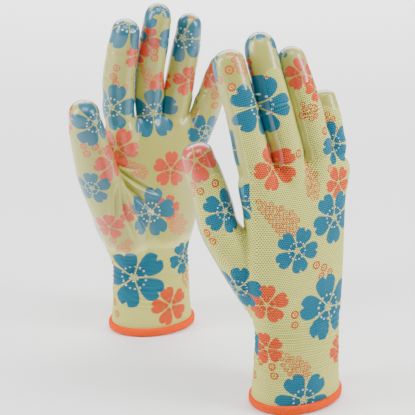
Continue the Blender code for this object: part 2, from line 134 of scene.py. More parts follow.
# The lining inside the cuff: its top, the height over which it rises to the skin there, and how far
# it lies under the skin below that.
LINING_TOP = 80.0
LINING_FADE = 25.0
LINING_DEPTH = 0.9

# The knit: width of a column of stitches and height of a row.
STITCH_WIDTH = 1.4
STITCH_HEIGHT = 1.2

# Where the coating starts above the hem, and its height over the knit at its edge and inside.
COATING_FOOT = 66.0
FILM_EDGE = 0.05
FILM_FULL = 0.28

# -------- the parts and how they are cut

# The cuff's liner ends here; above it is the hand's.
CUFF_TOP = 58.0
# Past this distance from the knuckle, a face that touches a digit at all goes with it.
MIXED_FROM = 4.0
# How often the parts are searched for loose scraps.
SCRAP_ROUNDS = 4
# The skin is cut open below this height, inside the hem.
OPEN_BELOW = 2.4
# A digit owns the skin within this many of its half widths.
OWNED_REACH = 1.4

# -------- creases and coating

# Creases that fan out from the web of the thumb into the palm: direction below the horizontal,
# length and depth.
CREASES = [(8.0, 30.0, 0.9), (34.0, 48.0, 2.2), (50.0, 56.0, 1.9), (63.0, 62.0, 2.2), (76.0, 58.0, 1.9),
           (90.0, 46.0, 1.4)]
# How far round the back the coating reaches, as the cosine of the angle from straight back. On the
# palm it is the first value, and gains the second towards the finger roots.
FINGER_LIMIT = 0.66
THUMB_LIMIT = 0.55
PALM_LIMIT, ROOTS_GAIN = 0.15, 0.47
# The share of each digit's length beyond which the coating goes all round.
TIP_DIPPED = {"thumb": 0.60, "index": 0.66, "middle": 0.66, "ring": 0.66, "little": 0.72}
# A crease bows sideways as it runs. It is a valley of this width with a lower ridge beside it, that
# deepens over its first stretch and fades out after a share of its length.
CREASE_BOW = 2.2
CREASE_WIDTH = 1.2
RIDGE_SHARE = 0.6
RIDGE_ASIDE = 3.0
RIDGE_WIDTH = 1.7
CREASE_START = 6.0
CREASE_END_SHARE = 0.55
# Where the creases start, from the thumb's knuckle.
WEB_FROM_KNUCKLE = (-11.0, 0.0, 4.0)
# The cuff's gathers, between two levels at either end, as two waves: height and pitch of each.
GATHERS_START = (12.0, 30.0)
GATHERS_END = (56.0, 74.0)
GATHER_HEIGHT, GATHER_PITCH = 0.40, 3.6
SLOW_GATHER_HEIGHT, SLOW_GATHER_PITCH = 0.18, 5.3
# Dents across the palm side of a digit's joints: depth, half width and distance from the joint.
JOINT_DENT = 0.35
DENT_WIDTH = 0.9
DENTS_APART = 2.2
# The last joint's distance from the knuckle, in lengths of the first bone.
LAST_JOINT = 1.85

# -------- hem and elastic

# The hem: wraps of thread round the band, and the band's section.
HEM_WRAPS = 96
STEPS_PER_WRAP = 8
HEM_HALF_WIDTH = 31.0
HEM_HALF_DEPTH = 22.6
HEM_BAND_THICK = 1.5
HEM_SIDES = 28
OUTLINE_STEPS = 1440
# The rounding of the band's section, and how far the thread swells out of it and sinks in.
BAND_SQUARENESS = 0.75
THREAD_SWELL = 0.34
THREAD_SINK = 0.2
THREAD_SLANT = 0.9

# The coil of elastic: its levels up the cuff and the thread's radius.
ELASTIC_TURNS = 3
ELASTIC_FOOT = 12.0
ELASTIC_TOP = 54.0
ELASTIC_RADIUS = 0.28
ELASTIC_STEPS = 96
ELASTIC_SIDES = 8

# -------- the print

# Blossoms: the ink, the part each sits on, its place and its radius. On a digit the place is the
# distance past the knuckle and the distance from the middle towards the thumb; on the hand it is the
# distance from the middle towards the thumb and the height above the hem.
BLOSSOMS = {
    "palm": [
        ("blue", "thumb", 48, 0, 16), ("coral", "thumb", 14, -5, 14), ("blue", "thumb", 0, 12, 13),
        ("coral", "hand", 36, 90, 11), ("blue", "index", 73, 0, 19),
        ("coral", "index", 46, -8, 10), ("blue", "index", 8, 7, 17),
        ("coral", "hand", 25, 141, 15), ("blue", "middle", 80, -3, 8),
        ("coral", "middle", 55, 8, 11), ("blue", "middle", 53, -12, 10),
        ("coral", "middle", 22, -6, 9), ("blue", "ring", 54, 5, 18), ("coral", "ring", 23, -3, 11),
        ("blue", "hand", -2, 163, 18), ("coral", "hand", -12, 123, 13),
        ("blue", "hand", 4, 94, 18), ("coral", "hand", -9, 96, 9), ("coral", "hand", 22, 100, 8),
        ("coral", "little", 29, 9, 9), ("blue", "little", -10, 0, 13),
        ("blue", "hand", -21, 55, 13), ("blue", "hand", 17, 45, 24), ("coral", "hand", -9, 21, 15),
    ],
    "back": [
        ("blue", "index", 31, -8, 18), ("blue", "middle", 80, 3, 8), ("blue", "middle", 66, -9, 9),
        ("coral", "ring", 52, 2, 10), ("coral", "ring", 40, -5, 8), ("blue", "little", 6, 4, 14),
        ("coral", "hand", 25, 163, 14), ("coral", "hand", -20, 147, 10),
        ("blue", "hand", -16, 126, 17), ("blue", "hand", 44, 142, 13),
        ("blue", "hand", 12, 110, 15), ("coral", "thumb", 47, 2, 14),
        ("blue", "thumb", 12, -6, 14), ("blue", "hand", 43, 85, 16), ("coral", "hand", 30, 76, 14),
        ("blue", "hand", -12, 68, 22), ("coral", "hand", 27, 44, 11),
        ("coral", "hand", -22, 35, 10), ("blue", "hand", 7, 9, 19),
    ],
}
# Small rings, by the part they sit on: place and radius.
SMALL_RINGS = {
    "palm": {
        "thumb": [(34, 10, 2.4), (28, 9, 2.7), (32, 4, 2.6), (27, 0, 2.6), (25, -5, 2.4)],
        "index": [(37, 5, 2.6), (30, 6, 2.8), (25, 4, 2.6), (23, -2, 2.4)],
        "middle": [(47, 2, 2.8), (42, 1, 2.8)],
        "ring": [(78, 3, 2.4), (79, -2, 2.4)],
        "little": [(17, 1, 2.8), (10, -1, 2.6), (22, 3, 2.4)],
        "hand": [(31, 21, 2.6), (28, 14, 2.8), (33, 78, 2.8), (28, 72, 2.6), (23, 70, 2.4)],
    },
    "back": {
        "index": [(51, 10, 2.6), (56, 5, 2.8), (46, 6, 2.6), (42, 2, 2.6)],
        "middle": [(50, 6, 2.6)],
        "ring": [(30, 0, 2.6), (14, -4, 2.6), (27, 7, 2.4)],
        "hand": [(10, 170, 2.6), (-13, 157, 2.6), (-2, 98, 2.8), (-8, 95, 2.7), (-6, 90, 2.5),
                 (-13, 91, 2.5), (13, 68, 2.8), (13, 61, 2.6), (32, 38, 2.6), (28, 39, 2.7),
                 (30, 33, 2.6), (25, 32, 2.6), (24, 26, 2.7)],
        "thumb": [(32, 8, 2.6), (28, 5, 2.6), (27, 10, 2.4), (30, -5, 2.6), (2, 8, 2.6), (-4, 6, 2.6)],
    },
}
# Leaf-shaped sprays of small rings: part, place of the narrow end, direction and length.
SPRAYS = {
    "palm": [
        ("hand", 22, 132, 215, 22), ("hand", -6, 98, 238, 30), ("middle", 36, 8, 240, 24),
        ("hand", 30, 68, 130, 16), ("little", 4, 8, 260, 14), ("hand", -24, 30, 80, 16),
    ],
    "back": [
        ("hand", 37, 144, 221, 36), ("hand", 2, 163, 262, 26), ("hand", 25, 45, 225, 31),
        ("index", 66, 2, 245, 20), ("little", 26, 4, 265, 16), ("ring", 36, 6, 250, 14),
        ("hand", -24, 24, 90, 12),
    ],
}
SPRAY_RING = 1.75
SPRAY_PITCH = 3.4
# A spray's half width as a share of its length, and the sideways step between its rows.
SPRAY_FULLNESS = 0.30
SPRAY_STAGGER = 0.8
# The turn from one printed shape to the next, and the place given to cloth without a shape.
GOLDEN_TURN = 2.4
FAR_OFF = 9.0
# A shape's reach in its own radii, and how far through the glove it prints.
SHAPE_REACH = 1.05
PRINT_THROUGH = 16.0
LAYERS = ("blue", "coral", "rings")
# Above this height a shape on the hand is laid straight across the finger roots.
ROOTS_LEVEL = 132.0
# How far round the side the print reaches: the least share of the cloth's normal facing its side,
# the share over which it fades, and the share beyond it that still carries the shape's place.
PRINT_REACH = -0.25
PRINT_FADE = 0.08
PRINT_SPARE = 0.12
# A blossom: petals, and its rings of pale dots as ring radius, number and size of the dots.
PETALS = 5
DOT_RINGS = ((0.12, 5, 0.030), (0.37, 15, 0.034))
# The radius of a small ring's line, in its own radii, and a stitch's gap with its soft edge.
RING_LINE = 0.78
STITCH_GAP = (0.16, 0.56)

# -------- colours, from 0 to 255

INK_NAMES = ("Base", "Blue", "Coral", "Ring", "Pale")
# Each layer of blossoms, from below: its ink, and the ink of its dots and their strength.
BLOSSOM_INKS = (("coral", "Coral", "Base", 0.55), ("blue", "Blue", "Pale", 0.9))
KNIT_INKS = ((240, 240, 126), (0, 124, 156), (255, 92, 36), (236, 88, 22), (240, 248, 244))
FILM_INKS = ((172, 171, 80), (4, 100, 124), (206, 66, 38), (204, 82, 34), (190, 226, 224))
# Each thread's colour, and the darker colour painted as shade between its fibres.
ORANGE = ((246, 86, 0), (214, 60, 0))
CREAM = ((226, 222, 196), (190, 184, 150))
# The painted shade in the gaps between the stitches, as a linear colour, and the fineness of the thread's fibres.
GAP_SHADE = (0.02, 0.02, 0.01)
FIBRE_SCALE = 2600.0

# -------- camera, lights and floor, in metres and watts

CAMERA_AT = (0.0020, -0.6952, 0.3645)
CAMERA_PITCH = 20.0
CAMERA_LENS = 96.4
SENSOR_WIDTH = 36.0
# Each light: its name, its place, the point it faces, its size and its power.
LIGHTS = (("left", (-0.75, -0.22, 0.5), (0.0, 0.0, 0.12), (0.25, 0.7), 10.0),
          ("right", (0.75, -0.22, 0.55), (0.03, 0.0, 0.12), (0.25, 0.7), 10.0),
          ("above", (0.0, -0.25, 0.95), (0.0, 0.0, 0.12), (0.5, 0.4), 5.0),
          ("backdrop", (0.0, 1.7, 1.3), (0.0, 1.5, 0.0), (3.0, 1.2), 110.0))
WORLD_STRENGTH = 0.26
FLOOR_HALF = 4.0
FLOOR_LEVEL = -0.0005
FLOOR_TONE = 0.9


# -------- the glove's own frame


def joint(name):
    return next(entry for entry in frame["joints"] if entry["name"] == name)


def glove_matrix(side):
    """From the glove's own frame in millimetres to the shared frame, read from hem and knuckle."""
    low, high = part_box(f"{side}_hem_overlock")
    middle = (Vector(low) + Vector(high)) / 2.0
    mount = next(entry for entry in frame["record"]["mounts"] if entry["name"] == f"{side}_hem_rest")
    across = Vector(mount["pos_m"]) - middle
    across.z = 0.0
    across.normalize()
    up = Vector((0.0, 0.0, 1.0))
    back = up.cross(Vector(joint(f"{side}_index_knuckle")["axis"]))
    through = up.cross(across)
    if through.dot(back) < 0.0:
        through.negate()
    turned = Matrix((across, through, up)).transposed().to_4x4()
    place = Matrix.Translation((middle.x, middle.y, 0.0))
    return place @ turned @ Matrix.Scale(MM, 4)


class Digit:
    """A digit's centre line and cross directions in the glove's frame, from the CAD joints."""

    def __init__(self, side, name, to_local):
        self.name = name
        self.side = side
        self.widths = HALF_WIDTHS[side][name]
        first = joint(f"{side}_{name}_knuckle")
        second = joint(f"{side}_{name}_second_joint")
        self.knuckle = to_local @ Vector(first["pos_m"])
        self.second = to_local @ Vector(second["pos_m"])
        lateral = to_local.to_3x3() @ Vector(first["axis"])
        lateral.normalize()
        self.lateral = lateral if lateral.x > 0.0 else -lateral
        tip = frame["nodes"][f"{side}_{name}_tip_knit"]
        points = np.array([to_local @ vertex.co for vertex in tip.data.vertices])
        reach = np.linalg.norm(points - np.array(self.second), axis=1)
        self.end = Vector(points[reach.argmax()])
        span = self.end - self.second
        share = (points - np.array(self.second)) @ np.array(span) / span.length_squared
        self.middle = self.slice_centre(points, share, *MIDDLE_SLICE)
        self.pad = self.slice_centre(points, share, *PAD_SLICE)
        root = self.knuckle + (Vector(WRIST) - self.knuckle) * ROOT_SHARE
        self.line = [root, self.knuckle, (self.knuckle + self.second) / 2.0, self.second, self.middle,
                     self.pad]
        if name == "thumb":
            start = Vector(THENAR_START)
            self.line[0:1] = [start, start.lerp(self.knuckle, 0.3), start.lerp(self.knuckle, 0.7)]
        self.bones = (self.knuckle, self.second, self.middle, self.pad, self.end)
        self.bone = (self.second - self.knuckle).length
        self.direction = (self.second - self.knuckle).normalized()
        self.back = self.direction.cross(self.lateral).normalized()

    @staticmethod
    def slice_centre(points, share, low, high):
        """The middle of the points between two shares of a bone's length."""
        inside = points[(share > low) & (share < high)]
        return Vector((inside.min(axis=0) + inside.max(axis=0)) / 2.0)

    def radii(self):
        """Half width at each point of the centre line."""
        knuckle, second, pad = self.widths
        values = [knuckle, (knuckle + second) / 2.0 + 0.15, second, (second + pad) / 2.0 + 0.2, pad]
        lead = list(THENAR_RADII[self.side]) if self.name == "thumb" else [knuckle]
        return lead + values


# -------- numbers on meshes


def smooth_line(points, values, steps):
    """A Catmull-Rom curve through points and values, sampled evenly by span."""
    data = np.array([list(point) + [value] for point, value in zip(points, values)], float)
    padded = np.vstack([2 * data[0] - data[1], data, 2 * data[-1] - data[-2]])
    samples = []
    for span in range(len(data) - 1):
        a, b, c, d = padded[span:span + 4]
        for step in range(steps):
            t = step / steps
            samples.append(0.5 * (2 * b + (c - a) * t + (2 * a - 5 * b + 4 * c - d) * t * t
                                  + (3 * b - a - 3 * c + d) * t ** 3))
    samples.append(data[-1])
    return np.array(samples)


def smoothstep(value, low, high):
    t = np.clip((value - low) / (high - low), 0.0, 1.0)
    return t * t * (3.0 - 2.0 * t)


def unit_rows(rows):
    return rows / (np.linalg.norm(rows, axis=1, keepdims=True) + 1e-12)


def quad_areas(points, faces):
    """The normal of each quad, as long as twice its area."""
    corners = points[faces]
    return np.cross(corners[:, 2] - corners[:, 0], corners[:, 3] - corners[:, 1])


def gather_at_points(per_face, faces, count):
    """The sum at each point of what its faces bring."""
    total = np.zeros((count, 3))
    for corner in range(4):
        np.add.at(total, faces[:, corner], per_face)
    return total


def round_angles(count):
    """Angles spread evenly round a circle."""
    return np.linspace(0.0, 2.0 * math.pi, count, endpoint=False)


def face_normals(points, faces):
    return unit_rows(quad_areas(points, faces))


def vertex_normals(points, faces):
    return unit_rows(gather_at_points(quad_areas(points, faces), faces, len(points)))


def walked_along(line):
    """The distance from the first point of a line to each of its points."""
    return np.append(0.0, np.cumsum(np.linalg.norm(np.diff(line, axis=0), axis=1)))


def place_object(name, data):
    made = bpy.data.objects.new(name, data)
    bpy.context.scene.collection.objects.link(made)
    return made


def keep_faces(faces, mask):
    """The kept faces renumbered, and the indices of the points they use."""
    kept = faces[mask]
    used, renumbered = np.unique(kept, return_inverse=True)
    return renumbered.reshape(kept.shape), used


def average_over_edges(values, faces, rounds):
    """Blurs values at the points along the mesh's edges."""
    starts = faces.ravel()
    ends = np.roll(faces, -1, axis=1).ravel()
    for _ in range(rounds):
        total = values.copy()
        count = np.ones(len(values))
        np.add.at(total, starts, values[ends])
        np.add.at(count, starts, 1.0)
        np.add.at(total, ends, values[starts])
        np.add.at(count, ends, 1.0)
        values = total / count
    return values


# -------- the skin


def add_rings(mesh_builder, rings):
    """A closed tube through rings of points."""
    loops = [[mesh_builder.verts.new(point) for point in ring] for ring in rings]
    for first, second in zip(loops, loops[1:]):
        for step in range(len(first)):
            after = (step + 1) % len(first)
            mesh_builder.faces.new((first[step], first[after], second[after], second[step]))
    mesh_builder.faces.new(loops[0][::-1])
    mesh_builder.faces.new(loops[-1])


def digit_samples(digit):
    """Points and half widths along a digit's centre line, up to where the tip starts to close."""
    radii = digit.radii()
    line = digit.line + [digit.pad.lerp(digit.end, TIP_START)]
    return smooth_line(line, radii + [radii[-1] * TIP_NARROWER], DIGIT_STEPS)


def digit_rings(digit, digits):
    """Rings along a digit, kept clear of its neighbours and closing to a rounded tip."""
    samples = digit_samples(digit)
    for other in digits:
        if other is digit or "thumb" in (digit.name, other.name):
            continue
        apart = samples[:, None, :3] - digit_samples(other)[None, :, :3]
        nearest = np.sqrt((apart ** 2).sum(axis=2)).min(axis=1)
        room = nearest / 2.0 - FINGER_GAP / 2.0
        above = samples[:, 2] > digit.knuckle.z - GAP_BELOW_KNUCKLE
        samples[:, 3] = np.where(above, np.minimum(samples[:, 3], room), samples[:, 3])
    rings = []
    angles = round_angles(DIGIT_SIDES)

    def ring(centre, direction, radius):
        lateral = np.array(digit.lateral)
        lateral = lateral - direction * (lateral @ direction)
        lateral /= np.linalg.norm(lateral)
        back = np.cross(direction, lateral)
        return [tuple(centre + radius * (lateral * math.cos(angle)
                                         + back * (DIGIT_DEPTH * math.sin(angle)))) for angle in angles]

    for index, sample in enumerate(samples):
        before = samples[max(index - 1, 0)][:3]
        after = samples[min(index + 1, len(samples) - 1)][:3]
        direction = (after - before) / np.linalg.norm(after - before)
        rings.append(ring(sample[:3], direction, sample[3]))
    start = samples[-1]
    span = np.array(digit.end) - start[:3]
    direction = span / np.linalg.norm(span)
    for share in TIP_SHARES:
        radius = start[3] * (1.0 - share ** TIP_ROUNDNESS) ** 0.5
        rings.append(ring(start[:3] + span * share, direction, radius))
    return rings


def palm_rings(side):
    """Rings from below the hem up to the finger roots."""
    widen = CUFF_WIDEN[side]
    sections = [(z, -wide * widen, wide * widen, deep, deep) for z, wide, deep in CUFF_SECTIONS]
    sections += [(*outline, *depths) for outline, depths in zip(PALM_SECTIONS[side], PALM_DEPTHS)]
    outlines = [section[:3] for section in sections]
    samples = smooth_line(outlines, [section[3] for section in sections], PALM_STEPS)
    backs = smooth_line(outlines, [section[4] for section in sections], PALM_STEPS)
    rings = []
    for sample, back in zip(samples, backs):
        level, low, high, front = sample
        middle = (low + high) / 2.0
        wide = (high - low) / 2.0
        squareness = 2.0 + (PALM_SQUARENESS - 2.0) * float(smoothstep(level, SQUARE_FROM, SQUARE_FULL))
        ring = []
        for angle in round_angles(PALM_SIDES):
            c, s = math.cos(angle), math.sin(angle)
            deep = back[3] if s > 0.0 else front
            x = middle + wide * math.copysign(abs(c) ** (2.0 / squareness), c)
            y = deep * math.copysign(abs(s) ** (2.0 / squareness), s)
            ring.append((x, y, level))
        rings.append(ring)
    return rings


def fused_surface(side, digits):
    """Palm and digits remeshed into one smooth skin. Returns its points and quads."""
    mesh_builder = bmesh.new()
    add_rings(mesh_builder, palm_rings(side))
    for digit in digits:
        add_rings(mesh_builder, digit_rings(digit, digits))
    bmesh.ops.recalc_face_normals(mesh_builder, faces=mesh_builder.faces)
    mesh = bpy.data.meshes.new("skin_draft")
    mesh_builder.to_mesh(mesh)
    mesh_builder.free()
    draft = place_object("skin_draft", mesh)
    remesh = draft.modifiers.new("Remesh", "REMESH")
    remesh.mode = "VOXEL"
    remesh.voxel_size = VOXEL
    smooth = draft.modifiers.new("Smooth", "SMOOTH")
    smooth.factor = 0.5
    smooth.iterations = SMOOTHING_ROUNDS
    result = draft.evaluated_get(bpy.context.evaluated_depsgraph_get()).to_mesh()
    points = np.empty(len(result.vertices) * 3)
    result.vertices.foreach_get("co", points)
    loops = np.empty(len(result.loops), int)
    result.loops.foreach_get("vertex_index", loops)
    assert all(len(face.vertices) == 4 for face in result.polygons)
    faces = loops.reshape(-1, 4)
    bpy.data.objects.remove(draft)
    bpy.data.meshes.remove(mesh)
    return points.reshape(-1, 3), faces


class Skin:
    """One glove's surface in its own frame, with the digit that owns each point."""

    def __init__(self, side):
        self.side = side
        self.to_world = glove_matrix(side)
        self.digits = [Digit(side, name, self.to_world.inverted()) for name in DIGITS]
        points, faces = fused_surface(side, self.digits)
        faces, used = keep_faces(faces, points[faces][:, :, 2].mean(axis=1) > OPEN_BELOW)
        self.points = points[used]
        self.faces = faces
        self.find_owners()
        for heights in (self.closing, self.relief):
            self.points = self.points + vertex_normals(self.points, self.faces) * heights()[:, None]
        self.normals = vertex_normals(self.points, self.faces)
        self.corners = self.points[self.faces]
        self.tree = BVHTree.FromPolygons(self.points.tolist(), self.faces.tolist())

    def digit_places(self, points, digit):
        """How far along a digit's bones (from the knuckle) and how far off them each point is."""
        best = np.full(len(points), 1e9)
        along = np.zeros(len(points))
        walked = 0.0
        for index, (first, second) in enumerate(zip(digit.bones, digit.bones[1:])):
            start = np.array(first)
            span = np.array(second) - start
            length = np.linalg.norm(span)
            t = (points - start) @ span / length ** 2
            clipped = np.clip(t, -1.5 if index == 0 else 0.0, 1.0)
            off = np.linalg.norm(points - start - clipped[:, None] * span, axis=1)
            closer = off < best
            best = np.where(closer, off, best)
            along = np.where(closer, walked + clipped * length, along)
            walked += length
        return along, best

    def find_owners(self):
        """Owner -1 is the hand, or else the digit's number. Along is measured from the knuckle."""
        self.owner = np.full(len(self.points), -1)
        self.along = np.zeros(len(self.points))
        best = np.full(len(self.points), 1e9)
        for number, digit in enumerate(self.digits):
            along, off = self.digit_places(self.points, digit)
            along = average_over_edges(along, self.faces, 10)
            mine = (along > -1.0) & (off < digit.widths[0] * OWNED_REACH) & (off < best)
            self.owner[mine] = number
            self.along[mine] = along[mine]
            best[mine] = off[mine]

    def closing(self):
        """How far the sides of neighbouring fingers swell towards each other near their roots."""
        normals = vertex_normals(self.points, self.faces)
        tree = BVHTree.FromPolygons(self.points.tolist(), self.faces.tolist())
        opens = 1.0 - smoothstep(self.along, *ROOT_GAP_OPENS[self.side])
        height = np.zeros(len(self.points))
        roots_level = min(digit.knuckle.z for digit in self.digits[1:]) - ROOTS_BELOW_KNUCKLES
        near_roots = (self.owner != 0) & (self.points[:, 2] > roots_level) & (opens > 0.0)
        for index in np.flatnonzero(near_roots):
            start = Vector(self.points[index] + normals[index] * 0.05)
            _, facing, _, distance = tree.ray_cast(start, Vector(normals[index]), GAP_SEARCH)
            if distance is not None and facing.dot(Vector(normals[index])) < -0.5:
                height[index] = min(max(distance - ROOT_GAP, 0.0) / 2.0, 1.0) * opens[index]
        return average_over_edges(height, self.faces, 3)

    def relief(self):
        """Heights along the normals: palm creases, cuff gathers and dents at the digits' joints."""
        return self.palm_creases() + self.cuff_gathers() + self.joint_dents()

    def palm_creases(self):
        """Creases on the palm side of the hand, left out where the thumb is."""
        x, y, z = self.points.T
        height = np.zeros(len(self.points))
        web = np.array(self.digits[0].knuckle) + np.array(WEB_FROM_KNUCKLE)
        thumb_along, thumb_off = self.digit_places(self.points, self.digits[0])
        clear = 1.0 - smoothstep(thumb_along, -9.0, -2.0) * (1.0 - smoothstep(thumb_off, 13.0, 20.0))
        for turn, length, depth in CREASES:
            direction = np.array((-math.cos(math.radians(turn)), -math.sin(math.radians(turn))))
            dx, dz = x - web[0], z - web[2]
            run = dx * direction[0] + dz * direction[1]
            off = -dx * direction[1] + dz * direction[0] - CREASE_BOW * np.sin(run / length * math.pi)
            fading = smoothstep(run, CREASE_END_SHARE * length, length)
            along = smoothstep(run, 0.0, CREASE_START) * (1.0 - fading)
            valley = -depth * np.exp(-(off / CREASE_WIDTH) ** 2)
            ridge = RIDGE_SHARE * depth * np.exp(-((off - RIDGE_ASIDE) / RIDGE_WIDTH) ** 2)
            height += np.where((y < 0.0) & (self.owner < 0), (valley + ridge) * along * clear, 0.0)
        return height

    def cuff_gathers(self):
        """Uneven rings round the cuff, where the elastic draws it in."""
        x, y, z = self.points.T
        around = np.arctan2(y, x)
        wander = 1.4 * np.sin(around * 3.0) + 0.9 * np.sin(around * 7.0 + z * 0.12)
        slow_wander = -2.1 * np.sin(around * 2.0 + 1.0)
        gathers = (GATHER_HEIGHT * np.sin(z * 2.0 * math.pi / GATHER_PITCH + wander)
                   + SLOW_GATHER_HEIGHT * np.sin(z * 2.0 * math.pi / SLOW_GATHER_PITCH + slow_wander))
        return smoothstep(z, *GATHERS_START) * (1.0 - smoothstep(z, *GATHERS_END)) * gathers

    def joint_dents(self):
        """Shallow folds across the palm side of each digit's joints."""
        height = np.zeros(len(self.points))
        for number, digit in enumerate(self.digits):
            back_facing = (self.points - np.array(digit.knuckle)) @ np.array(digit.back)
            front = smoothstep(-back_facing, 0.0, 6.0)
            for place in (digit.bone - DENTS_APART, digit.bone + DENTS_APART, digit.bone * LAST_JOINT):
                dent = -JOINT_DENT * np.exp(-((self.along - place) / DENT_WIDTH) ** 2) * front
                height += np.where(self.owner == number, dent, 0.0)
        return height

    def coating(self):
        """Above zero where the coating covers the knit."""
        facing = self.normals[:, 1].copy()
        x, _, z = self.points.T
        knuckle_level = min(digit.knuckle.z for digit in self.digits[1:])
        limit = PALM_LIMIT + ROOTS_GAIN * smoothstep(z, knuckle_level - 34.0, knuckle_level - 4.0)
        cover = limit - facing
        foot = (z - COATING_FOOT - 1.6 * np.sin(x * 0.21 + 0.6) - 0.7 * np.sin(x * 0.53)) / 9.0
        thumb = self.digits[0]
        thumb_along, thumb_off = self.digit_places(self.points, thumb)
        on_thumb = smoothstep(thumb_along, -24.0, -4.0) * (1.0 - smoothstep(thumb_off, 15.0, 22.0))
        thumb_cover = THUMB_LIMIT - self.normals @ np.array(thumb.back)
        cover = cover * (1.0 - on_thumb) + thumb_cover * on_thumb
        cover = np.minimum(cover, foot)
        for number, digit in enumerate(self.digits):
            mine = self.owner == number
            limit = THUMB_LIMIT if number == 0 else FINGER_LIMIT
            whole = digit.bone + (digit.end - digit.second).length
            side_on = (self.points - np.array(digit.knuckle)) @ np.array(digit.lateral)
            wander = 2.4 * np.sin(side_on * 0.28 + number * 2.1)
            dipped = (self.along - whole * TIP_DIPPED[digit.name] + wander) / 7.0
            around = limit - self.normals @ np.array(digit.back)
            cover = np.where(mine, np.maximum(around, dipped), cover)
        return average_over_edges(cover, self.faces, 6)


# -------- placing the print


def spray_rings(sprays):
    """Each spray as rings in rows that widen from its narrow end and close again."""
    rings = []
    for part, first, second, turn, length in sprays:
        way = (math.cos(math.radians(turn)), math.sin(math.radians(turn)))
        if part != "hand":
            way = (way[1], way[0])
        rows = int(length / SPRAY_PITCH)
        for row in range(rows):
            share = (row + 0.5) / rows
            half = SPRAY_FULLNESS * length * share ** 0.8 * (1.0 - share ** 6)
            count = 1 + int(2.0 * half / SPRAY_PITCH)
            for place in range(count):
                aside = (place - (count - 1) / 2.0) * SPRAY_PITCH + (row % 2 - 0.5) * SPRAY_STAGGER
                onward = (row + 0.5) * SPRAY_PITCH
                rings.append(("rings", part, first + way[0] * onward - way[1] * aside,
                              second + way[1] * onward + way[0] * aside, SPRAY_RING))
    return rings


def printed_shapes(face):
    """All that is printed on the palm side or the back: layer, part, place and radius."""
    rings = [("rings", part, *entry) for part, entries in SMALL_RINGS[face].items() for entry in entries]
    return BLOSSOMS[face] + rings + spray_rings(SPRAYS[face])


def stamps(skin):
    """Where each printed shape lies: its layer, centre, normal, outward side, part, radius and turn."""
    digits = {digit.name: digit for digit in skin.digits}
    found = []
    for face, toward_back in (("palm", -1.0), ("back", 1.0)):
        for number, (layer, part, first, second, radius) in enumerate(printed_shapes(face)):
            if part == "hand":
                aim = Vector((first, 0.0, second))
                outward = Vector((0.0, toward_back, 0.0))
            else:
                digit = digits[part]
                onward = (digit.end - digit.second).normalized()
                if first < digit.bone:
                    aim = digit.knuckle + digit.direction * first
                else:
                    aim = digit.second + onward * (first - digit.bone)
                aim = aim + digit.lateral * second
                outward = digit.back * toward_back
            hit, normal, _, _ = skin.tree.ray_cast(aim + outward * 60.0, -outward)
            if hit is None:
                hit, normal, _, _ = skin.tree.find_nearest(aim + outward * 3.0)
            owner = DIGITS.index(part) if part in DIGITS else -1
            normal = (normal + outward).normalized()
            found.append((layer, np.array(hit), np.array(normal), np.array(outward), owner, radius,
                          number * GOLDEN_TURN))
    return found


def in_plane(offsets, normal):
    """Offsets as places right and up in the plane across a normal."""
    up = np.array((0.0, 0.0, 1.0)) - normal * normal[2]
    up /= np.linalg.norm(up)
    right = np.cross(up, normal)
    return np.stack((offsets @ right, offsets @ up), axis=2)


def print_coordinates(skin, placed):
    """Per corner of each quad and per layer: place within the nearest shape, in radii, and how
    squarely the cloth there faces the side that the shape was printed from.

    A shape is laid over its own part's curve, and straight across any other finger it reaches. The
    thumb stands too far off to share a shape with the fingers.
    """
    centres = skin.corners.mean(axis=1)
    facing = face_normals(skin.points, skin.faces)
    owners = skin.owner[skin.faces].max(axis=1)
    result = {}
    for layer in LAYERS:
        best = np.full(len(skin.faces), SHAPE_REACH)
        values = np.full((len(skin.faces), 4, 3), (FAR_OFF, FAR_OFF, 0.0))
        for kind, at, normal, outward, owner, radius, turn in placed:
            if kind != layer:
                continue
            if owner < 0:
                beyond = np.full(len(owners), at[2] > ROOTS_LEVEL)
            else:
                beyond = (owners >= 0) & (owners != owner)
            cut_off = beyond & ((owners == 0) != (owner == 0))
            offset = centres - at
            distance = np.linalg.norm(offset, axis=1)
            across = np.linalg.norm(offset - (offset @ outward)[:, None] * outward, axis=1)
            distance = np.where(beyond, across + 0.2, distance) / radius
            near = np.abs(offset @ outward) < PRINT_THROUGH
            mine = (distance < best) & (facing @ outward > PRINT_REACH - PRINT_SPARE) & near & ~cut_off
            if not mine.any():
                continue
            corners = skin.corners[mine] - at
            chord = np.linalg.norm(corners, axis=2)
            flat = in_plane(corners, normal)
            flat *= (chord / (np.linalg.norm(flat, axis=2) + 1e-6))[:, :, None]
            flat = np.where(beyond[mine][:, None, None], in_plane(corners, outward), flat) / radius
            cos, sin = math.cos(turn), math.sin(turn)
            values[mine, :, 0] = flat[:, :, 0] * cos - flat[:, :, 1] * sin
            values[mine, :, 1] = flat[:, :, 0] * sin + flat[:, :, 1] * cos
            values[mine, :, 2] = skin.normals[skin.faces[mine]] @ outward
            best = np.where(mine, distance, best)
        result[layer] = values
    return result


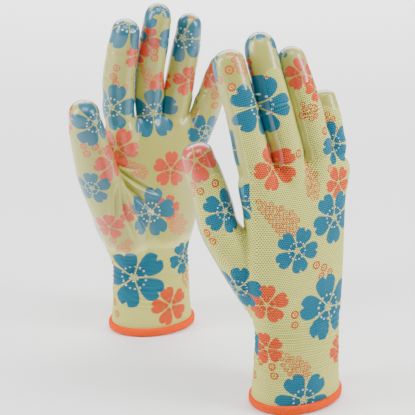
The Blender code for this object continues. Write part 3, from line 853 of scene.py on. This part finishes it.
def ring_shares(skin):
    """For each corner, the share of the way round the hand or digit, and the distance along it."""
    x, y, z = skin.points.T
    rings = np.array(palm_rings(skin.side))
    middles = (rings[:, :, :2].max(axis=1) + rings[:, :, :2].min(axis=1)) / 2.0
    steps = np.linspace(-math.pi, math.pi, 181)
    table = []
    for ring, middle in zip(rings, middles):
        angles = np.arctan2(ring[:, 1] - middle[1], ring[:, 0] - middle[0])
        order = np.argsort(angles)
        closed = ring[np.append(order, order[0]), :2]
        walked = walked_along(closed)
        around = np.append(angles[order], angles[order[0]] + 2.0 * math.pi)
        table.append(np.interp(steps, around, walked / walked[-1]))
    table = np.array(table)
    levels = rings[:, 0, 2]
    row = np.interp(z, levels, np.arange(len(levels)))
    middle_x = np.interp(z, levels, middles[:, 0])
    middle_y = np.interp(z, levels, middles[:, 1])
    column = (np.arctan2(y - middle_y, x - middle_x) + math.pi) / (2.0 * math.pi) * 180.0
    low_row = np.clip(row.astype(int), 0, len(levels) - 2)
    low_column = np.clip(column.astype(int), 0, 179)
    u, v = row - low_row, column - low_column
    share = ((table[low_row, low_column] * (1 - v) + table[low_row, low_column + 1] * v) * (1 - u)
             + (table[low_row + 1, low_column] * (1 - v) + table[low_row + 1, low_column + 1] * v) * u)
    along = z.copy()
    columns = np.full(len(z), round(176.0 / STITCH_WIDTH))
    for number, digit in enumerate(skin.digits):
        mine = skin.owner == number
        line = np.array(digit.bones)
        walked = walked_along(line)
        axis = np.stack([np.interp(skin.along, walked, line[:, k]) for k in range(3)], axis=1)
        offset = skin.points - axis
        turned = np.arctan2(offset @ np.array(digit.back), offset @ np.array(digit.lateral))
        share = np.where(mine, turned / (2.0 * math.pi), share)
        along = np.where(mine, skin.along, along)
        columns = np.where(mine, round(2.0 * math.pi * digit.widths[0] / STITCH_WIDTH), columns)
    return share, along, columns


def weave_coordinates(skin):
    """Per corner: stitch columns round, stitch rows along."""
    share, along, columns = ring_shares(skin)
    corners = share[skin.faces]
    corners = np.where(corners - corners.max(axis=1, keepdims=True) < -0.5, corners + 1.0, corners)
    columns = columns[skin.faces].max(axis=1, keepdims=True)
    across = corners * columns
    calm = np.stack([average_over_edges(skin.normals[:, k], skin.faces, 12) for k in range(3)], axis=1)
    calm = calm[skin.faces].mean(axis=1)
    places = skin.corners
    faces_out = (np.abs(calm[:, 1]) >= np.abs(calm[:, 0]))[:, None]
    flat = np.where(faces_out, places[:, :, 0], places[:, :, 1])
    on_hand = (skin.owner[skin.faces].max(axis=1) < 0) & (places[:, :, 2].mean(axis=1) > CUFF_TOP)
    across = np.where(on_hand[:, None], flat / STITCH_WIDTH, across)
    return np.stack((across, along[skin.faces] / STITCH_HEIGHT, np.zeros_like(across)), axis=2)


# -------- pieces


def make_object(name, points, faces, normals, corner_values, to_world, material):
    """A mesh in the shared frame from a glove's own points, with corner attributes and normals."""
    matrix = np.array(to_world)
    world = points @ matrix[:3, :3].T + matrix[:3, 3]
    turned = normals @ matrix[:3, :3].T
    if np.linalg.det(matrix[:3, :3]) < 0.0:
        faces = faces[:, ::-1]
        corner_values = {key: value[:, ::-1] for key, value in corner_values.items()}
    mesh = bpy.data.meshes.new(name)
    mesh.from_pydata(world.tolist(), [], faces.tolist())
    for key, value in corner_values.items():
        attribute = mesh.attributes.new(key, "FLOAT_VECTOR", "CORNER")
        attribute.data.foreach_set("vector", np.ascontiguousarray(value, dtype=np.float32).ravel())
    mesh.polygons.foreach_set("use_smooth", [True] * len(mesh.polygons))
    mesh.normals_split_custom_set_from_vertices(unit_rows(turned).tolist())
    mesh.materials.append(material)
    return place_object(name, mesh)


def boundary_points(faces):
    """Points on edges that only one face uses."""
    edges = np.stack((faces.ravel(), np.roll(faces, -1, axis=1).ravel()), axis=1)
    edges = np.sort(edges, axis=1)
    unique, count = np.unique(edges, axis=0, return_counts=True)
    return np.unique(unique[count == 1])


def slopes(points, faces, values):
    """The gradient of a value over the surface, per point."""
    first = points[faces[:, 2]] - points[faces[:, 0]]
    second = points[faces[:, 3]] - points[faces[:, 1]]
    rise_first = values[faces[:, 2]] - values[faces[:, 0]]
    rise_second = values[faces[:, 3]] - values[faces[:, 1]]
    a = (first * first).sum(axis=1)
    b = (first * second).sum(axis=1)
    c = (second * second).sum(axis=1)
    scale = a * c - b * b + 1e-9
    along_first = (c * rise_first - b * rise_second) / scale
    along_second = (a * rise_second - b * rise_first) / scale
    per_face = first * along_first[:, None] + second * along_second[:, None]
    count = np.bincount(faces.ravel(), minlength=len(points))
    return gather_at_points(per_face, faces, len(points)) / np.maximum(count, 1)[:, None]


def shared_edges(faces):
    """Pairs of faces that meet along an edge."""
    ends = np.sort(np.stack((faces, np.roll(faces, -1, axis=1)), axis=2).reshape(-1, 2), axis=1)
    face = np.repeat(np.arange(len(faces)), 4)
    order = np.lexsort((ends[:, 1], ends[:, 0]))
    ends, face = ends[order], face[order]
    same = (ends[1:] == ends[:-1]).all(axis=1)
    return face[:-1][same], face[1:][same]


def patches(count, first, second):
    """Numbers faces so that those linked by the given pairs have the same number."""
    label = np.arange(count)
    while True:
        lowest = label.copy()
        np.minimum.at(lowest, first, label[second])
        np.minimum.at(lowest, second, label[first])
        lowest = lowest[lowest]
        if (lowest == label).all():
            return label
        label = lowest


def join_scraps(zones, faces):
    """Gives every loose scrap of a zone to the zone it touches most, so each is one patch."""
    first, second = shared_edges(faces)
    for _ in range(SCRAP_ROUNDS):
        together = zones[first] == zones[second]
        label = patches(len(faces), first[together], second[together])
        sizes = np.bincount(label, minlength=len(faces))
        joined = zones.copy()
        for zone in np.unique(zones):
            roots = np.unique(label[zones == zone])
            for root in np.setdiff1d(roots, roots[np.argmax(sizes[roots])]):
                scrap = label == root
                beyond = np.concatenate((zones[second[scrap[first] & ~scrap[second]]],
                                         zones[first[scrap[second] & ~scrap[first]]]))
                if len(beyond):
                    names, touching = np.unique(beyond, return_counts=True)
                    joined[scrap] = names[np.argmax(touching)]
        if (joined == zones).all():
            break
        zones = joined
    return zones


def face_zones(skin):
    """Names each face with the part it belongs to: cuff, hand, or a digit's base or tip."""
    owner = np.sort(skin.owner[skin.faces], axis=1)
    owned = skin.owner[skin.faces] >= 0
    along = np.where(owned, skin.along[skin.faces], 0.0).sum(axis=1) / np.maximum(owned.sum(axis=1), 1)
    height = skin.corners[:, :, 2].mean(axis=1)
    zones = np.where(height < CUFF_TOP, "cuff", "hand").astype("<U12")
    for number, digit in enumerate(skin.digits):
        most = (owner[:, 1] == number) & (owner[:, 2] == number)
        topmost = (owner[:, 3] == number) & (along > MIXED_FROM)
        mine = (most | topmost) & (along > -0.4)
        half = digit.bone * 0.5
        zones[mine & (along <= half)] = f"{digit.name}_base"
        zones[mine & (along > half)] = f"{digit.name}_tip"
    return join_scraps(zones, skin.faces)


def attach(piece, skin, zone):
    """Puts a hand or cuff piece on the hand's CAD body; any other piece only has its placement baked into its
    points.
    """
    side = skin.side
    if zone in ("hand", "cuff"):
        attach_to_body(piece, f"{side}_hand")
        return
    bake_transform(piece)


def knit_pieces(skin, zones, corner_values, material):
    """The knitted liner, part by part, with its lining inside the cuff."""
    depth = LINING_DEPTH * (1.0 - smoothstep(skin.points[:, 2], LINING_TOP - LINING_FADE, LINING_TOP))
    inner = skin.points - skin.normals * depth[:, None]
    for zone in np.unique(zones):
        mask = zones == zone
        faces, used = keep_faces(skin.faces, mask)
        points, normals = skin.points[used], skin.normals[used]
        values = {key: value[mask] for key, value in corner_values.items()}
        lined = mask & (skin.corners[:, :, 2].max(axis=1) < LINING_TOP)
        if lined.any():
            inner_faces, inner_used = keep_faces(skin.faces, lined)
            faces = np.vstack((faces, inner_faces[:, ::-1] + len(points)))
            points = np.vstack((points, inner[inner_used]))
            normals = np.vstack((normals, -skin.normals[inner_used]))
            for key in values:
                reverse_side = corner_values[key][lined][:, ::-1].copy()
                if key in LAYERS:
                    reverse_side[:] = (FAR_OFF, FAR_OFF, 0.0)
                values[key] = np.concatenate((values[key], reverse_side))
        piece = make_object(f"{skin.side}_{zone}_liner", points, faces, normals, values, skin.to_world,
                            material)
        attach(piece, skin, zone)
        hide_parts(f"{skin.side}_{zone}_knit")


def film_pieces(skin, zones, corner_values, material):
    """The dipped coating, part by part, as a skin over the knit that thins out at its edge."""
    cover = skin.coating()
    inside = cover[skin.faces].mean(axis=1) > 0.0
    film_faces = skin.faces[inside]
    edge = boundary_points(film_faces)
    slope = slopes(skin.points, skin.faces, cover)
    steep = (slope ** 2).sum(axis=1) + 1e-6
    shift = -slope * (cover / steep)[:, None]
    length = np.linalg.norm(shift, axis=1, keepdims=True)
    shift *= np.minimum(1.0, VOXEL / (length + 1e-9))
    points = skin.points.copy()
    points[edge] += shift[edge]
    clear = cover / np.sqrt(steep)
    lift = FILM_EDGE + (FILM_FULL - FILM_EDGE) * smoothstep(clear, 0.0, 2.5)
    lift[edge] = FILM_EDGE
    points = points + skin.normals * lift[:, None]
    normals = vertex_normals(points, film_faces)
    thick = np.zeros((len(points), 3))
    thick[:, 0] = smoothstep(clear, 0.0, np.where(skin.points[:, 2] < COATING_FOOT + 14.0, 9.0, 1.2))
    for zone in np.unique(zones[inside]):
        mask = inside & (zones == zone)
        faces, used = keep_faces(skin.faces, mask)
        values = {key: value[mask] for key, value in corner_values.items()}
        values["thick"] = thick[skin.faces[mask]]
        piece = make_object(f"{skin.side}_{zone}_film", points[used], faces, normals[used], values,
                            skin.to_world, material)
        attach(piece, skin, zone)
        node = "palm_coating" if zone == "hand" else f"{zone}_coating"
        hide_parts(f"{skin.side}_{node}")


def hem_piece(side, to_world, material):
    """The overlocked hem: a rounded band wound with slanting thread."""
    count = HEM_WRAPS * STEPS_PER_WRAP
    angles = round_angles(OUTLINE_STEPS)
    outline = np.stack((HEM_HALF_WIDTH * np.cos(angles), HEM_HALF_DEPTH * np.sin(angles)), axis=1)
    closed = np.vstack((outline, outline[:1]))
    walked = walked_along(closed)
    even = np.linspace(0.0, walked[-1], count, endpoint=False)
    line = np.stack([np.interp(even, walked, closed[:, k]) for k in range(2)], axis=1)
    tangent = unit_rows(np.roll(line, -1, axis=0) - np.roll(line, 1, axis=0))
    outward = np.stack((tangent[:, 1], -tangent[:, 0]), axis=1)
    half_height = HEM_TOP / 2.0
    step = np.arange(count)
    rows = []
    for turn in round_angles(HEM_SIDES):
        out, up = math.cos(turn), math.sin(turn)
        out = math.copysign(abs(out) ** BAND_SQUARENESS, out)
        up = math.copysign(abs(up) ** BAND_SQUARENESS, up)
        slant = THREAD_SLANT * up
        wave = np.abs(np.sin((step / STEPS_PER_WRAP + slant) * math.pi)) ** 0.7
        swell = THREAD_SWELL * wave - THREAD_SINK
        reach = HEM_BAND_THICK * out + swell * out
        level = half_height + (half_height - 0.15) * up + swell * up * 0.55
        rows.append(np.column_stack((line + outward * reach[:, None], np.maximum(level, 0.0))))
    points = np.concatenate(rows)
    grid = np.arange(HEM_SIDES * count).reshape(HEM_SIDES, count)
    next_row, next_step = np.roll(grid, -1, axis=0), np.roll(grid, -1, axis=1)
    both = np.roll(next_row, -1, axis=1)
    faces = np.stack((grid, next_step, both, next_row), axis=2).reshape(-1, 4)
    normals = vertex_normals(points, faces)
    if (normals * (points - np.array((0.0, 0.0, half_height)))).sum() < 0.0:
        faces = faces[:, ::-1]
        normals = -normals
    piece = make_object(f"{side}_hem_band", points, faces, normals, {}, to_world, material)
    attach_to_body(piece, f"{side}_hand")
    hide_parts(f"{side}_hem_overlock")


def elastic_piece(skin, material):
    """The elastic thread knitted into the wall of the cuff, as a coil half way through the wall."""
    count = ELASTIC_TURNS * ELASTIC_STEPS
    turns = np.linspace(0.0, 2.0 * math.pi * ELASTIC_TURNS, count)
    levels = np.linspace(ELASTIC_FOOT, ELASTIC_TOP, count)
    line = []
    outwards = []
    for turn, level in zip(turns, levels):
        way = Vector((math.cos(turn), math.sin(turn), 0.0))
        hit, normal, _, _ = skin.tree.ray_cast(Vector((0.0, 0.0, level)), way)
        line.append(np.array(hit - normal * (LINING_DEPTH / 2.0)))
        outwards.append(np.array(normal))
    line, outwards = np.array(line), np.array(outwards)
    aside = unit_rows(np.cross(unit_rows(np.gradient(line, axis=0)), outwards))
    rings = []
    for angle in round_angles(ELASTIC_SIDES):
        rings.append(line + ELASTIC_RADIUS * (math.cos(angle) * outwards + math.sin(angle) * aside))
    points = np.stack(rings, axis=1).reshape(-1, 3)
    grid = np.arange(count * ELASTIC_SIDES).reshape(count, ELASTIC_SIDES)
    first, second = grid[:-1], grid[1:]
    faces = np.stack((first, np.roll(first, -1, axis=1), np.roll(second, -1, axis=1), second), axis=2)
    faces = faces.reshape(-1, 4)
    normals = points - np.repeat(line, ELASTIC_SIDES, axis=0)
    if (face_normals(points, faces) * normals[faces[:, 0]]).sum() < 0.0:
        faces = faces[:, ::-1]
    piece = make_object(f"{skin.side}_elastic_coil", points, faces, normals, {}, skin.to_world, material)
    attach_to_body(piece, f"{skin.side}_hand")
    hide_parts(f"{skin.side}_cuff_elastic")


# -------- materials


class Wiring:
    """Short calls for adding nodes to a tree. Numbers and sockets are both accepted as inputs."""

    def __init__(self, tree):
        self.tree = tree

    def node(self, kind, **settings):
        made = self.tree.nodes.new(kind)
        for key, value in settings.items():
            setattr(made, key, value)
        return made

    def feed(self, socket, value):
        if isinstance(value, bpy.types.NodeSocket):
            self.tree.links.new(value, socket)
        else:
            socket.default_value = value

    def math(self, operation, *values, clamp=False):
        made = self.node("ShaderNodeMath", operation=operation, use_clamp=clamp)
        for socket, value in zip(made.inputs, values):
            self.feed(socket, value)
        return made.outputs[0]

    def times(self, first, second):
        return self.math("MULTIPLY", first, second)

    def less(self, first, second):
        return self.math("SUBTRACT", first, second)

    def rest(self, value):
        """What is left of 1."""
        return self.less(1.0, value)

    def length(self, x, y):
        return self.math("SQRT", self.math("ADD", self.times(x, x), self.times(y, y)))

    def soft(self, value, low, high):
        """Rises smoothly from 0 at low to 1 at high."""
        made = self.node("ShaderNodeMapRange", interpolation_type="SMOOTHSTEP")
        self.feed(made.inputs["Value"], value)
        self.feed(made.inputs["From Min"], low)
        self.feed(made.inputs["From Max"], high)
        return made.outputs["Result"]

    def mix(self, share, first, second, blend="MIX"):
        made = self.node("ShaderNodeMix", data_type="RGBA", blend_type=blend)
        self.feed(made.inputs[0], share)
        for socket, value in ((made.inputs[6], first), (made.inputs[7], second)):
            self.feed(socket, value if isinstance(value, bpy.types.NodeSocket) else (*value, 1.0))
        return made.outputs[2]

    def attribute(self, name):
        return self.node("ShaderNodeAttribute", attribute_name=name).outputs["Vector"]

    def parts(self, vector):
        made = self.node("ShaderNodeSeparateXYZ")
        self.feed(made.inputs[0], vector)
        return made.outputs

    def noise(self, scale, detail=3.0, vector=None):
        made = self.node("ShaderNodeTexNoise")
        self.feed(made.inputs["Scale"], scale)
        self.feed(made.inputs["Detail"], detail)
        if vector is not None:
            self.feed(made.inputs["Vector"], vector)
        return made.outputs["Fac"]


def colour(red, green, blue):
    """Linear colour from everyday 0-255 values."""
    values = []
    for channel in (red, green, blue):
        share = channel / 255.0
        values.append(share / 12.92 if share <= 0.04045 else ((share + 0.055) / 1.055) ** 2.4)
    return tuple(values)


def new_group(name, inputs, outputs):
    """A node group with its wiring, its input node and its output node."""
    group = bpy.data.node_groups.new(name, "ShaderNodeTree")
    for label, kind in inputs:
        group.interface.new_socket(label, in_out="INPUT", socket_type=kind)
    for label, kind in outputs:
        group.interface.new_socket(label, in_out="OUTPUT", socket_type=kind)
    wiring = Wiring(group)
    return group, wiring, wiring.node("NodeGroupInput"), wiring.node("NodeGroupOutput")


def blossom_group():
    """Five notched petals, and two rings of pale dots round the middle."""
    group, w, given, result = new_group(
        "Blossom", [("Place", "NodeSocketVector")],
        [("Petals", "NodeSocketFloat"), ("Dots", "NodeSocketFloat"), ("Radius", "NodeSocketFloat")])
    x, y, _ = w.parts(given.outputs["Place"])
    radius = w.length(x, y)
    angle = w.math("ARCTAN2", y, x)
    fold = w.math("PINGPONG", angle, math.pi / PETALS)
    px = w.times(radius, w.math("COSINE", fold))
    py = w.times(radius, w.math("SINE", fold))
    t = w.math("DIVIDE", w.less(px, 0.06), 0.94, clamp=True)
    taper = w.math("SQRT", w.math("SUBTRACT", 1.0, w.math("POWER", t, 3.0), clamp=True))
    half_width = w.times(w.times(w.math("POWER", t, 0.85), taper), 0.62)
    petal = w.soft(w.less(half_width, py), -0.02, 0.02)
    notch = w.less(w.times(w.less(px, 0.86), 0.70), py)
    petal = w.times(petal, w.rest(w.soft(notch, -0.01, 0.02)))
    dots = None
    for ring_radius, number, size in DOT_RINGS:
        turn = w.math("PINGPONG", w.math("ADD", angle, ring_radius), math.pi / number)
        dx = w.less(w.times(radius, w.math("COSINE", turn)), ring_radius)
        dy = w.times(radius, w.math("SINE", turn))
        away = w.length(dx, dy)
        spot = w.rest(w.soft(away, size * 0.7, size * 1.3))
        dots = spot if dots is None else w.math("MAXIMUM", dots, spot)
    w.feed(result.inputs["Petals"], petal)
    w.feed(result.inputs["Dots"], w.times(dots, petal))
    w.feed(result.inputs["Radius"], radius)
    return group


def print_group(blossom):
    """The printed cloth: base colour under rings, coral blossoms and blue blossoms."""
    group, w, given, result = new_group(
        "PrintedCloth", [(name, "NodeSocketColor") for name in INK_NAMES],
        [("Colour", "NodeSocketColor")])
    x, y, facing = w.parts(w.attribute("rings"))
    printed_side = w.soft(facing, PRINT_REACH, PRINT_REACH + PRINT_FADE)
    radius = w.length(x, y)
    band = w.math("ABSOLUTE", w.less(radius, RING_LINE))
    rim = w.rest(w.soft(band, 0.12, 0.30))
    centre = w.rest(w.soft(radius, 0.18, 0.34))
    ring = w.times(w.math("MAXIMUM", rim, centre), printed_side)
    colour_now = w.mix(ring, given.outputs["Base"], given.outputs["Ring"])
    for layer, ink, dot_ink, dot_share in BLOSSOM_INKS:
        flower = w.node("ShaderNodeGroup", node_tree=blossom)
        place = w.attribute(layer)
        facing = w.parts(place)[2]
        printed_side = w.soft(facing, PRINT_REACH, PRINT_REACH + PRINT_FADE)
        w.feed(flower.inputs["Place"], place)
        shade = w.rest(w.soft(flower.outputs["Radius"], 0.0, 0.75))
        deep = w.mix(0.28, given.outputs[ink], (0.0, 0.0, 0.0))
        inked = w.mix(shade, given.outputs[ink], deep)
        petals = w.times(flower.outputs["Petals"], printed_side)
        dots = w.times(w.times(flower.outputs["Dots"], dot_share), printed_side)
        colour_now = w.mix(petals, colour_now, inked)
        colour_now = w.mix(dots, colour_now, given.outputs[dot_ink])
    w.feed(result.inputs["Colour"], colour_now)
    return group


def stitch_height(w):
    """Staggered rows of small round gaps between the stitches: 0 in a gap, 1 on the yarn."""
    across, along, _ = w.parts(w.attribute("weave"))
    odd = w.math("FLOORED_MODULO", w.math("FLOOR", along), 2.0)
    shifted = w.math("ADD", across, w.times(odd, 0.5))
    dx = w.less(w.math("FRACT", shifted), 0.5)
    dy = w.less(w.math("FRACT", along), 0.5)
    away = w.length(dx, dy)
    return w.soft(away, *STITCH_GAP)


def new_material(name, roughness, **settings):
    """A material, its wiring and its shader, with the shader's own sockets set."""
    material = bpy.data.materials.new(name)
    material.use_nodes = True
    shader = material.node_tree.nodes["Principled BSDF"]
    shader.inputs["Roughness"].default_value = roughness
    for key, value in settings.items():
        shader.inputs[key.replace("_", " ")].default_value = value
    return material, Wiring(material.node_tree), shader


def add_bump(w, shader, strength, distance, height):
    bump = w.node("ShaderNodeBump")
    for name, value in (("Strength", strength), ("Distance", distance), ("Height", height)):
        w.feed(bump.inputs[name], value)
    w.feed(shader.inputs["Normal"], bump.outputs["Normal"])


def printed(w, cloth, inks):
    """The printed cloth's colour in the given inks."""
    made = w.node("ShaderNodeGroup", node_tree=cloth)
    for name, value in zip(INK_NAMES, inks):
        made.inputs[name].default_value = (*colour(*value), 1.0)
    return made.outputs["Colour"]


def knit_material(cloth):
    material, w, shader = new_material("printed_knit", 0.9, Sheen_Weight=0.08, Sheen_Roughness=0.5,
                                       Specular_IOR_Level=0.2)
    stitch = stitch_height(w)
    base = printed(w, cloth, KNIT_INKS)
    # The gaps between the stitches are darkened towards GAP_SHADE: painted shade in the knit's recesses.
    gap = w.rest(stitch)
    painted_gap_shade = w.mix(0.92, base, GAP_SHADE)
    shaded = w.mix(w.times(gap, 0.95), base, painted_gap_shade)
    w.feed(shader.inputs["Base Color"], shaded)
    add_bump(w, shader, 0.7, 0.00035, stitch)
    return material


def film_material(cloth):
    material, w, shader = new_material("coated_print", 0.42, Coat_Weight=0.7, Coat_Roughness=0.18)
    stitch = stitch_height(w)
    thick = w.parts(w.attribute("thick"))[0]
    base = w.mix(thick, printed(w, cloth, KNIT_INKS), printed(w, cloth, FILM_INKS))
    # Where the film is thin, the knit's gaps show through darkened towards GAP_SHADE: painted shade in the
    # stitches' recesses.
    showing = w.less(0.80, w.times(thick, 0.66))
    gap = w.times(w.rest(stitch), showing)
    w.feed(shader.inputs["Base Color"], w.mix(gap, base, w.mix(0.85, base, GAP_SHADE)))
    place = w.node("ShaderNodeTexCoord").outputs["Object"]
    ripple = w.noise(120.0, 2.0, place)
    height = w.math("ADD", w.times(stitch, 0.12), w.times(ripple, 0.9))
    add_bump(w, shader, 0.35, 0.0006, height)
    return material


def thread_material(name, inks, roughness):
    ink, shadow = (colour(*value) for value in inks)
    material, w, shader = new_material(name, roughness, Specular_IOR_Level=0.1)
    place = w.node("ShaderNodeTexCoord").outputs["Object"]
    fibre = w.noise(FIBRE_SCALE, 4.0, place)
    # The fibre noise is also the bump's height: its low places take the darker colour, painted shade between the
    # fibres.
    w.feed(shader.inputs["Base Color"], w.mix(w.soft(fibre, 0.35, 0.7), shadow, ink))
    add_bump(w, shader, 0.4, 0.0002, fibre)
    return material


# -------- build

cloth = print_group(blossom_group())
knit = knit_material(cloth)
film = film_material(cloth)
orange_thread = thread_material("orange_thread", ORANGE, 0.8)
elastic_thread = thread_material("elastic_thread", CREAM, 0.7)

for side in SIDES:
    skin = Skin(side)
    coordinates = print_coordinates(skin, stamps(skin))
    coordinates["weave"] = weave_coordinates(skin)
    zones = face_zones(skin)
    knit_pieces(skin, zones, coordinates, knit)
    film_pieces(skin, zones, coordinates, film)
    hem_piece(side, skin.to_world, orange_thread)
    elastic_piece(skin, elastic_thread)

# -------- floor, light and camera


def softbox(name, at, aim, size, power):
    data = bpy.data.lights.new(name, "AREA")
    data.shape = "RECTANGLE"
    data.size, data.size_y = size
    data.energy = power
    light = place_object(name, data)
    light.location = at
    light.rotation_euler = (Vector(aim) - Vector(at)).to_track_quat("-Z", "Y").to_euler()


def pale_floor():
    mesh = bpy.data.meshes.new("floor")
    corners = [(x * FLOOR_HALF, y * FLOOR_HALF, FLOOR_LEVEL)
               for x, y in ((-1, -1), (1, -1), (1, 1), (-1, 1))]
    mesh.from_pydata(corners, [], [(0, 1, 2, 3)])
    material, _, shader = new_material("pale_floor", 0.9)
    shader.inputs["Base Color"].default_value = (FLOOR_TONE, FLOOR_TONE, FLOOR_TONE, 1.0)
    mesh.materials.append(material)
    floor = place_object("floor", mesh)


def surroundings():
    world = bpy.data.worlds.new("white_surroundings")
    world.use_nodes = True
    background = world.node_tree.nodes["Background"]
    background.inputs["Color"].default_value = (1.0, 1.0, 1.0, 1.0)
    background.inputs["Strength"].default_value = WORLD_STRENGTH
    bpy.context.scene.world = world


def camera():
    data = bpy.data.cameras.new("camera")
    data.lens = CAMERA_LENS
    data.sensor_width = SENSOR_WIDTH
    placed = place_object("camera", data)
    placed.location = CAMERA_AT
    placed.rotation_euler = (math.radians(90.0 - CAMERA_PITCH), 0.0, 0.0)
    bpy.context.scene.camera = placed


pale_floor()
surroundings()
camera()
for light in LIGHTS:
    softbox(*light)
